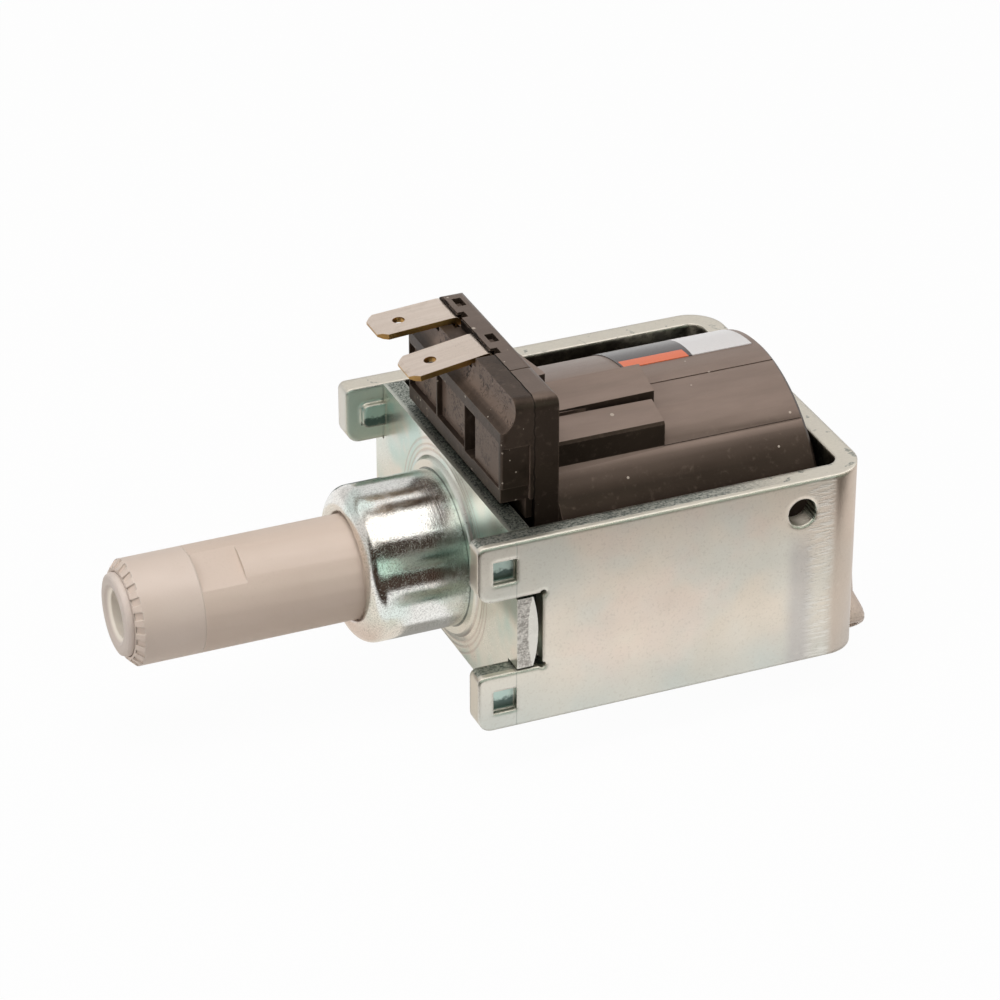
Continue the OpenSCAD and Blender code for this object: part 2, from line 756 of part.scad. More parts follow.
// One push-on terminal: a tilted blade, its bend and the leg inside the block
module terminal(y, tilt) {
    bend_x = cover_back - blade_bend;
    bend_z = blade_low - blade_bend;
    reach = blade_l - blade_bend;
    tip = 1.25;
    half = blade_w / 2;
    far = 4;
    translate([bend_x, y, bend_z])
        rotate([0, -tilt, 0])
            translate([0, 0, blade_bend])
                intersection() {
                    linear_extrude(height = blade_t)
                        difference() {
                            polygon([[e, -half], [e, half], [-reach + tip, half], [-reach, half - 1.15],
                                [-reach, -half + 1.15], [-reach + tip, -half]]);
                            translate([-reach + 3.9, 0])
                                circle(d = blade_hole_d, $fn = 48);
                        }
                    rotate([90, 0, 0])
                        linear_extrude(height = blade_w + 2, center = true)
                            polygon([[1, 0], [1, blade_t], [-reach + 0.6, blade_t], [-reach, blade_t - 0.22],
                                [-reach, 0.22], [-reach + 0.6, 0]]);
                }
    intersection() {
        difference() {
            cross_bar(bend_x, bend_z, y - half, y + half, blade_bend + blade_t, 64);
            cross_bar(bend_x, bend_z, y - half - 1, y + half + 1, blade_bend, 64);
        }
        translate([bend_x, y, bend_z])
            rotate([90, 0, 0])
                linear_extrude(height = blade_w + 2, center = true)
                    polygon([[0, -e], [far, -e], [far, far], [-far * tan(tilt), far], [0, 0]]);
    }
    block([cover_back, y - half, leg_foot], [cover_back + blade_t, y + half, bend_z + e]);
}

module terminals() {
    color([0.8, 0.74, 0.66]) {
        terminal(blade_y, blade_tilt_near);
        terminal(blade_y + blade_pitch, blade_tilt_far);
    }
}

// A bare adhesive label bent over the far side of the coil
module blank_label() {
    from = 1;
    to = 60;
    steps = 12;
    far = coil_r * 1.5;
    color([0.93, 0.93, 0.92])
        translate([label_back - label_l, 0, coil_rise])
            rotate([90, 0, 90])
                linear_extrude(height = label_l)
                    intersection() {
                        difference() {
                            circle(r = coil_r + label_t, $fn = 192);
                            circle(r = coil_r, $fn = 192);
                        }
                        polygon(concat([[0, 0]], [for (i = [0:steps])
                            let (a = 90 - from - (to - from) * i / steps)
                            [far * cos(a), far * sin(a)]]));
                    }
}

module retaining_washer() {
    x0 = yoke_l;
    color([0.74, 0.74, 0.72])
        difference() {
            pipe(x0, x0 + washer_plate_t, sleeve_out_r + 1.6, guide_r);
            for (i = [0:7])
                rotate([45 * i, 0, 0])
                    block([x0 - 1, -0.4, 0], [x0 + 2, 0.4, guide_r + 1.8]);
        }
}

module inlet_elbow() {
    leg_x = elbow_seat + 1.55;
    barb_r = barb_d / 2;
    root_r = barb_r - 0.35;
    neck_r = barb_r - 0.6;
    body_r = elbow_d / 2;
    leg_end = inlet_reach;
    color([0.87, 0.83, 0.77])
        difference() {
            union() {
                turned([[plug_front, 0], [plug_front, plug_r - 0.3], [plug_front + 0.3, plug_r],
                    [plug_front + 1.1, plug_r], [plug_front + 1.1, 4.6], [plug_front + 3.1, 4.6],
                    [plug_front + 3.1, plug_r], [elbow_seat, plug_r], [elbow_seat, body_r],
                    [elbow_seat + elbow_l - 1, body_r], [elbow_seat + elbow_l - 0.3, body_r - 0.35],
                    [elbow_seat + elbow_l, body_r - 1.2], [elbow_seat + elbow_l, 0]]);
                // The leg stands behind the end of the guide tube, which it is cut flat against
                difference() {
                    translate([leg_x, 0, 0])
                        rotate([90 + inlet_angle, 0, 0])
                            rotate_extrude($fn = fine)
                                polygon([[0, 0], [root_r, 0], [root_r, body_r + 1], [neck_r, body_r + 1.8],
                                    [neck_r, leg_end - 7.6], [barb_r, leg_end - 7.2], [barb_r, leg_end - 6.9],
                                    [neck_r, leg_end - 4.6], [barb_r - 0.1, leg_end - 2.4], [barb_r, leg_end - 1.8],
                                    [barb_r, leg_end - 1.1], [barb_r - 0.15, leg_end - 0.5],
                                    [barb_r - 0.45, leg_end - 0.12], [barb_r - 0.8, leg_end], [0, leg_end]]);
                    bar(plug_front, elbow_seat, guide_r + 0.3);
                }
            }
            bar(plug_front - 1, leg_x, inlet_bore_d / 2 + 0.6);
            translate([leg_x, 0, 0])
                rotate([90 + inlet_angle, 0, 0])
                    cylinder(h = leg_end + 1, d = inlet_bore_d, $fn = fine);
        }
}

module inlet_seal() {
    color([0.1, 0.1, 0.1])
        seal_ring(plug_front + 1.3, 4.6, bore_r);
}

yoke();
front_plate();
front_cup();
outlet_body();
fitting_nose();
release_collet();
grab_ring();
backup_ring();
tube_seal();
outlet_valve();
outlet_spring();
pump_cylinder();
body_seal();
piston_seal();
seal_washer();
guide_tube();
front_flux_sleeve();
gap_ring();
rear_flux_sleeve();
armature();
piston();
suction_valve();
suction_spring();
buffer_spring();
main_spring();
bobbin();
winding();
coil_moulding();
rectifier_diode();
terminal_cover();
terminals();
blank_label();
retaining_washer();
inlet_elbow();
inlet_seal();
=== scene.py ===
import json
import math

import bpy
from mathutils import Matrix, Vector

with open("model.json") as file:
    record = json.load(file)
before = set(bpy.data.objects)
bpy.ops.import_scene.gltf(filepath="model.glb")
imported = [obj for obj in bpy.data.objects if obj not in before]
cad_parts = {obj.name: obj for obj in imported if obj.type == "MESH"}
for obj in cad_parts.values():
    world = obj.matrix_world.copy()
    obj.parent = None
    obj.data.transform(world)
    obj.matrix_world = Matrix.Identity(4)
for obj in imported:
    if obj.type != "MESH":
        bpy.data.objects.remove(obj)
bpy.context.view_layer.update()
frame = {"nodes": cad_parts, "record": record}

MM = 0.001
NODES = frame["nodes"]

# Camera, solved from the yoke's edges in the photograph
CAMERA_AT = Vector((-0.17926, -0.45781, 0.28677))
CAMERA_AZIMUTH = math.radians(-22.86)
CAMERA_ELEVATION = math.radians(29.53)
LENS = 151.03

# Stations of the pump, in metres, as its solids have them: x runs back along the pump and z up
CUP_FRONT = -9.06 * MM
CUP_R = 10.9 * MM
PLATE_FRONT = 5.5 * MM
COVER_FRONT = 7.0 * MM
COVER_BACK = 11.6 * MM
COIL_FRONT = 15.1 * MM
END_INSIDE = 53.85 * MM
LEG_OUTSIDE = 25.3 * MM
LEG_INSIDE = 22.3 * MM
LEG_HOLE = (46.93 * MM, 9.25 * MM)
LEG_HOLE_R = 2.1 * MM
STAKE_X = (2.2 * MM, 5.5 * MM)
STAKE_Z = (8.15 * MM, 11.55 * MM)
COLLET_BORE_R = 3.2 * MM
COIL_R = 21.1 * MM
COIL_Z = 0.4 * MM
FLOOR_Z = COIL_Z - COIL_R - 0.05 * MM


def put_in_scene(name, data):
    thing = bpy.data.objects.new(name, data)
    bpy.context.scene.collection.objects.link(thing)
    return thing


# Camera

def add_camera():
    data = bpy.data.cameras.new("camera")
    camera = put_in_scene("camera", data)
    data.lens = LENS
    data.sensor_width = 36
    data.clip_start = 0.02
    data.clip_end = 20
    forward = Vector((-math.sin(CAMERA_AZIMUTH) * math.cos(CAMERA_ELEVATION),
                      math.cos(CAMERA_AZIMUTH) * math.cos(CAMERA_ELEVATION),
                      -math.sin(CAMERA_ELEVATION)))
    camera.location = CAMERA_AT
    camera.rotation_euler = forward.to_track_quat("-Z", "Y").to_euler()
    bpy.context.scene.camera = camera


add_camera()
bpy.context.scene.view_settings.view_transform = "Standard"


# Node building

class Net:
    """Adds nodes to one tree. An input takes a plain value or another node's output."""

    def __init__(self, tree):
        self.tree = tree

    def put(self, socket, value):
        if isinstance(value, bpy.types.NodeSocket):
            self.tree.links.new(value, socket)
        else:
            socket.default_value = value

    def node(self, kind, inputs=None, **settings):
        n = self.tree.nodes.new("ShaderNode" + kind)
        for key, value in settings.items():
            setattr(n, key, value)
        for key, value in (inputs or {}).items():
            self.put(n.inputs[key], value)
        return n

    def math(self, operation, a, b=0.0, c=0.0, clamp=False):
        n = self.node("Math", {0: a, 1: b, 2: c}, operation=operation, use_clamp=clamp)
        return n.outputs[0]

    def times(self, a, b, clamp=False):
        return self.math("MULTIPLY", a, b, clamp=clamp)

    def reach(self, a, b):
        """How far the point a, b lies from the axis where both are zero."""
        return self.math("SQRT", self.math("ADD", self.times(a, a), self.times(b, b)))

    def ramp(self, value, low, high, to_low=0.0, to_high=1.0):
        n = self.node("MapRange", {"Value": value, "From Min": low, "From Max": high,
                                   "To Min": to_low, "To Max": to_high},
                      interpolation_type="SMOOTHSTEP")
        return n.outputs["Result"]

    def band(self, value, low, high, soft):
        """1 between low and high, fading to 0 over soft on each side."""
        up = self.ramp(value, low - soft, low)
        down = self.ramp(value, high, high + soft, 1.0, 0.0)
        return self.times(up, down)

    def mix(self, factor, a, b):
        n = self.tree.nodes.new("ShaderNodeMix")
        n.data_type = "RGBA"
        n.clamp_factor = True
        self.put(n.inputs["Factor"], factor)
        self.put([s for s in n.inputs if s.name == "A" and s.type == "RGBA"][0], a)
        self.put([s for s in n.inputs if s.name == "B" and s.type == "RGBA"][0], b)
        return [s for s in n.outputs if s.type == "RGBA"][0]

    def wash(self, base, colour, mask, share=1.0):
        """base with a share of colour laid over it where mask is 1."""
        return self.mix(mask if share == 1.0 else self.times(mask, share), base, colour)

    def noise(self, point, scale, detail=3.0, rough=0.55, stretch=None, turn=None, distort=0.0):
        if stretch or turn:
            mapping = self.node("Mapping", {"Vector": point})
            if turn:
                mapping.inputs["Rotation"].default_value = turn
            if stretch:
                mapping.inputs["Scale"].default_value = stretch
            point = mapping.outputs["Vector"]
        n = self.node("TexNoise", {"Vector": point, "Scale": scale, "Detail": detail,
                                   "Roughness": rough, "Distortion": distort})
        return n.outputs["Fac"]

    def axes(self, point):
        n = self.node("SeparateXYZ", {0: point})
        return n.outputs[0], n.outputs[1], n.outputs[2]


def bare_net(owner):
    """The emptied node tree of a material or a world."""
    owner.use_nodes = True
    net = Net(owner.node_tree)
    net.tree.nodes.clear()
    return net


FLOAT = "NodeSocketFloat"
COLOUR = "NodeSocketColor"
VECTOR = "NodeSocketVector"


def new_group(name, inputs, outputs):
    tree = bpy.data.node_groups.new(name, "ShaderNodeTree")
    for label, kind, value in inputs:
        socket = tree.interface.new_socket(name=label, in_out="INPUT", socket_type=kind)
        if value is not None:
            socket.default_value = value
    for label, kind in outputs:
        tree.interface.new_socket(name=label, in_out="OUTPUT", socket_type=kind)
    start = tree.nodes.new("NodeGroupInput")
    end = tree.nodes.new("NodeGroupOutput")
    return Net(tree), start.outputs, end.inputs


def make_cloudy_tints():
    """Slow drifts between three colours, as plating has."""
    net, given, out = new_group(
        "cloudy_tints",
        [("Point", VECTOR, None), ("Size", FLOAT, 12.0), ("Main", COLOUR, (1, 1, 1, 1)),
         ("Second", COLOUR, (1, 1, 1, 1)), ("Third", COLOUR, (1, 1, 1, 1)), ("Share", FLOAT, 0.5)],
        [("Colour", COLOUR)])
    scale = net.math("DIVIDE", 1000.0, given["Size"])
    slow = net.noise(given["Point"], scale, 2.0, 0.5)
    other = net.noise(given["Point"], scale, 3.0, 0.6, turn=(1.1, 0.4, 2.0))
    second = net.times(net.ramp(slow, 0.42, 0.64), given["Share"])
    third = net.times(net.ramp(other, 0.46, 0.68), given["Share"])
    colour = net.mix(second, given["Main"], given["Second"])
    net.put(out["Colour"], net.mix(third, colour, given["Third"]))
    return net.tree


def make_scratches():
    """Fine straight marks in three directions, each broken into short runs."""
    net, given, out = new_group(
        "fine_scratches",
        [("Point", VECTOR, None), ("Length", FLOAT, 4.0), ("Width", FLOAT, 0.08), ("Share", FLOAT, 0.5)],
        [("Mask", FLOAT)])
    total = None
    for turn in ((0.2, 0.9, 0.3), (1.3, -0.5, 0.8), (-0.7, 0.25, -1.2)):
        mapping = net.node("Mapping", {"Vector": given["Point"]})
        mapping.inputs["Rotation"].default_value = turn
        along = net.math("DIVIDE", 1000.0, given["Length"])
        across = net.math("DIVIDE", 1000.0, given["Width"])
        scale = net.node("CombineXYZ", {0: along, 1: across, 2: across})
        stretched = net.node("VectorMath", {0: mapping.outputs[0], 1: scale.outputs[0]},
                             operation="MULTIPLY")
        lines = net.noise(stretched.outputs[0], 1.0, 1.0, 0.4)
        gate = net.noise(mapping.outputs[0], 160.0, 1.0, 0.5)
        limit = net.math("MULTIPLY_ADD", given["Share"], -0.16, 0.74)
        mark = net.times(net.ramp(net.math("SUBTRACT", lines, limit), 0.0, 0.05),
                        net.ramp(gate, 0.48, 0.6))
        total = mark if total is None else net.math("MAXIMUM", total, mark)
    net.put(out["Mask"], total)
    return net.tree


def make_edge_wear_and_highlight():
    """A mask along outer and inner edges, broken up by grain, for worn edges and a painted highlight along
    them.
    """
    net, given, out = new_group(
        "edge_wear_and_highlight",
        [("Point", VECTOR, None), ("Reach", FLOAT, 0.3), ("Break", FLOAT, 0.5)],
        [("Mask", FLOAT)])
    radius = net.times(given["Reach"], MM)
    bevel = net.node("Bevel", {"Radius": radius}, samples=4)
    true_normal = net.node("NewGeometry").outputs["Normal"]
    dot = net.node("VectorMath", {0: bevel.outputs[0], 1: true_normal}, operation="DOT_PRODUCT")
    turned = net.math("SUBTRACT", 1.0, dot.outputs["Value"])
    grain = net.noise(given["Point"], 900.0, 3.0, 0.6)
    broken = net.math("MULTIPLY_ADD", net.math("SUBTRACT", grain, 0.5), given["Break"], turned)
    net.put(out["Mask"], net.ramp(broken, 0.02, 0.18))
    return net.tree


def make_specks():
    """Scattered small round specks."""
    net, given, out = new_group(
        "dust_specks",
        [("Point", VECTOR, None), ("Spacing", FLOAT, 2.0), ("Size", FLOAT, 0.1), ("Share", FLOAT, 0.3)],
        [("Mask", FLOAT)])
    scale = net.math("DIVIDE", 1000.0, given["Spacing"])
    cells = net.node("TexVoronoi", {"Vector": given["Point"], "Scale": scale, "Randomness": 1.0})
    share = net.node("SeparateColor", {0: cells.outputs["Color"]})
    radius = net.times(given["Size"], net.math("DIVIDE", share.outputs[1], given["Spacing"]))
    near = net.math("LESS_THAN", cells.outputs["Distance"], radius)
    chosen = net.math("LESS_THAN", share.outputs[0], given["Share"])
    net.put(out["Mask"], net.times(near, chosen))
    return net.tree


def make_sheared_edge():
    """The torn streaks of a cut sheet edge. They run along the axis that Along stretches least."""
    net, given, out = new_group(
        "sheared_edge",
        [("Point", VECTOR, None), ("Along", VECTOR, (1, 1, 1)), ("Bright", COLOUR, (1, 1, 1, 1)),
         ("Dark", COLOUR, (0, 0, 0, 1)), ("Depth", FLOAT, 0.5)],
        [("Colour", COLOUR), ("Height", FLOAT)])
    stretched = net.node("VectorMath", {0: given["Point"], 1: given["Along"]}, operation="MULTIPLY")
    streaks = net.noise(stretched.outputs[0], 1000.0, 3.0, 0.7)
    grains = net.noise(given["Point"], 3600.0, 2.0, 0.6)
    value = net.math("MULTIPLY_ADD", grains, given["Depth"], streaks)
    middle = net.math("MULTIPLY_ADD", given["Depth"], 0.5, 0.5)
    factor = net.ramp(net.math("SUBTRACT", value, middle), -0.2, 0.2)
    net.put(out["Colour"], net.mix(factor, given["Dark"], given["Bright"]))
    net.put(out["Height"], value)
    return net.tree


def make_fine_grain():
    """Fine even grain round 0.5, with a slow drift in its level."""
    net, given, out = new_group(
        "fine_grain",
        [("Point", VECTOR, None), ("Size", FLOAT, 0.3)],
        [("Value", FLOAT)])
    fine = net.noise(given["Point"], net.math("DIVIDE", 1000.0, given["Size"]), 3.0, 0.6)
    slow = net.noise(given["Point"], 90.0, 2.0, 0.5)
    net.put(out["Value"], net.math("MULTIPLY_ADD", net.math("SUBTRACT", slow, 0.5), 0.4, fine))
    return net.tree


CLOUDY = make_cloudy_tints()
SCRATCHES = make_scratches()
EDGE_WEAR_AND_HIGHLIGHT = make_edge_wear_and_highlight()
SPECKS = make_specks()
SHEARED = make_sheared_edge()
GRAIN = make_fine_grain()


class Finish(Net):
    """One material: its tree, its object coordinates, and the shader that its looks feed."""

    def __init__(self, name, **shader):
        self.material = bpy.data.materials.new(name)
        self.material.use_nodes = True
        super().__init__(self.material.node_tree)
        self.tree.nodes.clear()
        self.shader = self.node("BsdfPrincipled")
        self.node("OutputMaterial", {"Surface": self.shader.outputs[0]})
        coordinates = self.node("TexCoord")
        self.point = coordinates.outputs["Object"]
        self.normal = coordinates.outputs["Normal"]
        for key, value in shader.items():
            self.put(self.shader.inputs[key.replace("_", " ")], value)

    def group(self, tree, output, **inputs):
        n = self.tree.nodes.new("ShaderNodeGroup")
        n.node_tree = tree
        self.put(n.inputs["Point"], self.point)
        for key, value in inputs.items():
            self.put(n.inputs[key], value)
        return n.outputs[output] if isinstance(output, str) else [n.outputs[o] for o in output]

    def colour(self, value):
        self.put(self.shader.inputs["Base Color"], value)

    def rough(self, value):
        self.put(self.shader.inputs["Roughness"], value)

    def bump(self, height, depth, strength=1.0, rounded=0.0):
        """height is from 0 to 1, depth its reach in mm, and rounded the radius that edges are eased to."""
        n = self.node("Bump", {"Height": height, "Distance": depth * MM, "Strength": strength})
        if rounded:
            eased = self.node("Bevel", {"Radius": rounded * MM}, samples=8)
            self.put(n.inputs["Normal"], eased.outputs[0])
        self.put(self.shader.inputs["Normal"], n.outputs[0])

    def facing(self, axis, low=0.6, high=0.85):
        """1 where the surface faces along one axis, either way."""
        part = self.axes(self.normal)[axis]
        return self.ramp(self.math("ABSOLUTE", part), low, high)


def srgb(r, g, b):
    """A colour written as the eye's 0 to 255 values."""
    def one(c):
        c /= 255
        return c / 12.92 if c <= 0.04045 else ((c + 0.055) / 1.055) ** 2.4
    return (one(r), one(g), one(b), 1.0)


# Finishes

WARM_ZINC = srgb(234, 222, 206)
TEAL_ZINC = srgb(218, 220, 212)
PINK_ZINC = srgb(236, 216, 202)
WARM_SHEEN = srgb(255, 222, 198)


def zinc_sheet():
    f = Finish("zinc_sheet", Metallic=1.0)
    x, y, z = f.axes(f.point)
    tints = f.group(CLOUDY, "Colour", Size=13.0, Main=WARM_ZINC, Second=TEAL_ZINC, Third=PINK_ZINC,
                    Share=0.55)
    # Cooler towards the prongs and the lower edge, browner round the bends
    tints = f.wash(tints, TEAL_ZINC, f.ramp(x, 16 * MM, 3 * MM), 0.4)
    tints = f.wash(tints, srgb(184, 194, 190), f.ramp(z, -4 * MM, -14 * MM), 0.5)
    bend = f.band(x, 52.5 * MM, 57.5 * MM, 2 * MM)
    tints = f.wash(tints, srgb(186, 164, 148), bend, 0.6)
    # Even fine speckle of the plating
    speckle = f.noise(f.point, 2600.0, 2.0, 0.6)
    tints = f.wash(tints, srgb(180, 168, 154), f.ramp(speckle, 0.52, 0.72), 0.2)
    # Drawn marks that the bending die left just before each bend
    drawn = f.noise(f.point, 1.0, 3.0, 0.65, stretch=(420, 420, 3600))
    drawn_zone = f.times(f.band(x, 48.2 * MM, 51.2 * MM, 1.0 * MM), f.ramp(drawn, 0.45, 0.62))
    tints = f.wash(tints, srgb(236, 232, 224), drawn_zone, 0.6)
    lilac = f.times(f.band(x, 46.4 * MM, 47.4 * MM, 2.2 * MM), f.ramp(z, 8 * MM, 2 * MM))
    tints = f.wash(tints, srgb(182, 176, 176), lilac, 0.5)
    # The faint line that the front plate pressed through the prongs
    line = f.band(x, PLATE_FRONT - 0.08 * MM, PLATE_FRONT, 0.06 * MM)
    tints = f.wash(tints, srgb(120, 128, 122), line, 0.35)
    marks = f.group(SCRATCHES, "Mask", Length=2.2, Width=0.1, Share=0.08)
    tints = f.wash(tints, srgb(150, 136, 120), marks, 0.3)
    specks = f.group(SPECKS, "Mask", Spacing=3.4, Size=0.18, Share=0.14)
    tints = f.wash(tints, srgb(120, 98, 78), specks, 0.5)
    # Inside of the prongs and the stake pockets, where the plating is thick and blue-green
    side = f.math("ABSOLUTE", y)
    up = f.math("ABSOLUTE", z)
    inner = f.times(f.ramp(side, LEG_INSIDE + 0.6 * MM, LEG_INSIDE + 0.1 * MM), f.ramp(x, 9 * MM, 5 * MM))
    tints = f.wash(tints, srgb(184, 204, 198), inner, 0.6)
    pocket = f.times(f.band(x, *STAKE_X, 0.05 * MM), f.band(up, *STAKE_Z, 0.05 * MM))
    pocket = f.times(pocket, f.ramp(side, LEG_OUTSIDE - 0.1 * MM, LEG_OUTSIDE - 0.6 * MM))
    tints = f.wash(tints, srgb(176, 202, 194), pocket, 0.8)
    # Painted shade over the lower half of each stake pocket, with a ragged edge
    ragged = f.times(f.math("SUBTRACT", f.noise(f.point, 1600.0, 3.0, 0.7), 0.5), 1.6 * MM)
    middle = f.times(f.math("SIGN", z), sum(STAKE_Z) / 2)
    painted_pocket_shade = f.math("ADD", f.math("SUBTRACT", z, middle), ragged)
    painted_pocket_shade = f.times(pocket, f.ramp(painted_pocket_shade, 0.1 * MM, -0.5 * MM))
    tints = f.wash(tints, srgb(44, 62, 58), painted_pocket_shade, 0.85)
    # Inside the yoke, a mottled painted shade with the coil's dark painted reflection
    within = f.times(f.ramp(side, LEG_INSIDE + 0.6 * MM, LEG_INSIDE + 0.3 * MM),
                     f.band(x, 9 * MM, END_INSIDE + 0.35 * MM, 0.3 * MM))
    mottle = f.noise(f.point, 520.0, 4.0, 0.75)
    painted_inner_shade = f.mix(f.ramp(mottle, 0.42, 0.62), srgb(58, 60, 50), srgb(124, 124, 108))
    tints = f.wash(tints, painted_inner_shade, within, 0.85)
    # The bored leg holes show the tool's lines, bright and dark
    hole_x = f.math("SUBTRACT", x, LEG_HOLE[0])
    hole_z = f.math("SUBTRACT", z, LEG_HOLE[1])
    bored = f.ramp(f.reach(hole_x, hole_z), LEG_HOLE_R + 0.04 * MM, LEG_HOLE_R + 0.01 * MM)
    lines = f.noise(f.point, 1.0, 2.0, 0.6, stretch=(4200, 240, 4200))
    tints = f.wash(tints, f.mix(f.ramp(lines, 0.4, 0.6), srgb(84, 96, 88), srgb(214, 220, 208)), bored)
    # Cut edges, torn on the inner side and burnished bright along the outer side and at the rear
    top = f.facing(2, 0.55, 0.8)
    edge_colour, edge_height = f.group(SHEARED, ("Colour", "Height"), Along=(0.8, 5.0, 2.0),
                                       Bright=srgb(200, 200, 190), Dark=srgb(104, 112, 106), Depth=0.9)
    rear = f.math("MAXIMUM", f.ramp(x, 32 * MM, 48 * MM), f.ramp(y, 12 * MM, 22 * MM))
    dents = f.ramp(f.noise(f.point, 700.0, 2.0, 0.5), 0.62, 0.7, 1.0, 0.25)
    outer = f.band(side, LEG_OUTSIDE - 0.8 * MM, LEG_OUTSIDE + 0.1 * MM, 0.3 * MM)
    burnish = f.math("MAXIMUM", outer, f.times(rear, dents))
    edge_colour = f.wash(edge_colour, srgb(240, 233, 219), burnish, 0.9)
    front = f.times(f.facing(0, 0.6, 0.85), f.ramp(x, 1.2 * MM, 0.6 * MM))
    surface = f.mix(top, tints, edge_colour)
    surface = f.wash(surface, srgb(206, 203, 194), front, 0.6)
    # Lighter edges: partly wear, partly a painted highlight
    wear_and_highlight = f.group(EDGE_WEAR_AND_HIGHLIGHT, "Mask", Reach=0.45, Break=0.3)
    surface = f.wash(surface, srgb(240, 233, 220), wear_and_highlight, 0.55)
    f.colour(surface)
    grain = f.group(GRAIN, "Value", Size=0.3)
    satin = f.ramp(f.noise(f.point, 70, 3.0, 0.6), 0.35, 0.7, 0.32, 0.42)
    satin = f.math("MULTIPLY_ADD", f.math("SUBTRACT", grain, 0.5), 0.14, satin)
    satin = f.math("SUBTRACT", satin, f.times(wear_and_highlight, 0.12))
    f.rough(f.math("MULTIPLY_ADD", top, 0.06, satin, clamp=True))
    height = f.math("MULTIPLY_ADD", marks, -0.5, f.times(grain, 0.4))
    torn = f.times(top, f.math("SUBTRACT", 1.0, burnish))
    height = f.math("MULTIPLY_ADD", f.times(torn, edge_height), 0.9, height)
    height = f.math("MULTIPLY_ADD", drawn_zone, 0.4, height)
    height = f.math("MULTIPLY_ADD", line, -0.7, height)
    f.bump(height, 0.03, 0.8, 0.9)
    return f.material


def zinc_plate():
    f = Finish("zinc_plate", Metallic=1.0)
    x, y, z = f.axes(f.point)
    tints = f.group(CLOUDY, "Colour", Size=9.0, Main=srgb(223, 223, 213), Second=srgb(192, 213, 205),
                    Third=srgb(227, 219, 207), Share=0.9)
    # The corner by the near prong is darker
    near_corner_dark = f.times(f.ramp(y, -14 * MM, -19 * MM), f.band(z, 3 * MM, 12 * MM, 3 * MM))
    tints = f.wash(tints, srgb(132, 138, 126), near_corner_dark, 0.7)
    # Rings left by pressing the collar up round the cup
    radius = f.reach(y, z)
    ring = f.band(radius, CUP_R + 1.6 * MM, CUP_R + 1.7 * MM, 0.15 * MM)
    for out in (2.4 * MM, 3.1 * MM, 4.0 * MM):
        ring = f.math("MAXIMUM", ring, f.band(radius, CUP_R + out, CUP_R + out + 0.12 * MM, 0.2 * MM))
    tints = f.wash(tints, srgb(186, 168, 160), ring, 0.45)
    collar = f.band(radius, CUP_R + 0.1 * MM, CUP_R + 1.4 * MM, 0.3 * MM)
    tints = f.wash(tints, srgb(226, 224, 214), collar, 0.4)
    joint = f.band(radius, CUP_R, CUP_R + 0.15 * MM, 0.1 * MM)
    tints = f.wash(tints, srgb(70, 74, 68), joint)
    marks = f.group(SCRATCHES, "Mask", Length=3.0, Width=0.09, Share=0.45)
    tints = f.wash(tints, srgb(140, 140, 128), marks, 0.4)
    edge_colour, edge_height = f.group(SHEARED, ("Colour", "Height"), Along=(5.0, 3.2, 3.0),
                                       Bright=srgb(188, 192, 182), Dark=srgb(84, 92, 86), Depth=0.9)
    top = f.facing(2, 0.55, 0.8)
    burnish = f.ramp(x, 6.3 * MM, 5.8 * MM)
    edge_colour = f.wash(edge_colour, srgb(216, 218, 208), burnish, 0.8)
    surface = f.mix(top, tints, edge_colour)
    # Tab ends: torn over the front half, smooth behind
    on_tab = f.ramp(f.math("ABSOLUTE", y), 23.5 * MM, 24 * MM)
    tab_end = f.times(f.facing(1, 0.5, 0.8), on_tab)
    torn, torn_height = f.group(SHEARED, ("Colour", "Height"), Along=(1.4, 1.4, 2.2),
                                Bright=srgb(214, 209, 201), Dark=srgb(150, 145, 138), Depth=0.9)
    curve = f.math("MULTIPLY_ADD", f.times(z, z), -22.0, x)
    smooth = f.ramp(curve, 7.0 * MM, 7.25 * MM)
    tab_colour = f.mix(smooth, torn, srgb(224, 221, 212))
    surface = f.wash(surface, tab_colour, tab_end)
    # Lighter edges: partly wear, partly a painted highlight
    wear_and_highlight = f.group(EDGE_WEAR_AND_HIGHLIGHT, "Mask", Reach=0.4, Break=0.3)
    surface = f.wash(surface, srgb(236, 236, 226), wear_and_highlight, 0.5)
    f.colour(surface)
    grain = f.group(GRAIN, "Value", Size=0.4)
    f.rough(f.math("MULTIPLY_ADD", grain, 0.16, f.math("MULTIPLY_ADD", top, 0.1, 0.22), clamp=True))
    height = f.math("MULTIPLY_ADD", marks, -0.5, f.times(grain, 0.3))
    height = f.math("MULTIPLY_ADD", f.times(top, edge_height), 1.1, height)
    rough_tab = f.times(tab_end, f.math("SUBTRACT", 1.0, smooth))
    height = f.math("MULTIPLY_ADD", f.times(rough_tab, torn_height), 1.6, height)
    height = f.math("MULTIPLY_ADD", ring, -0.8, height)
    f.bump(height, 0.035, 0.8)
    return f.material


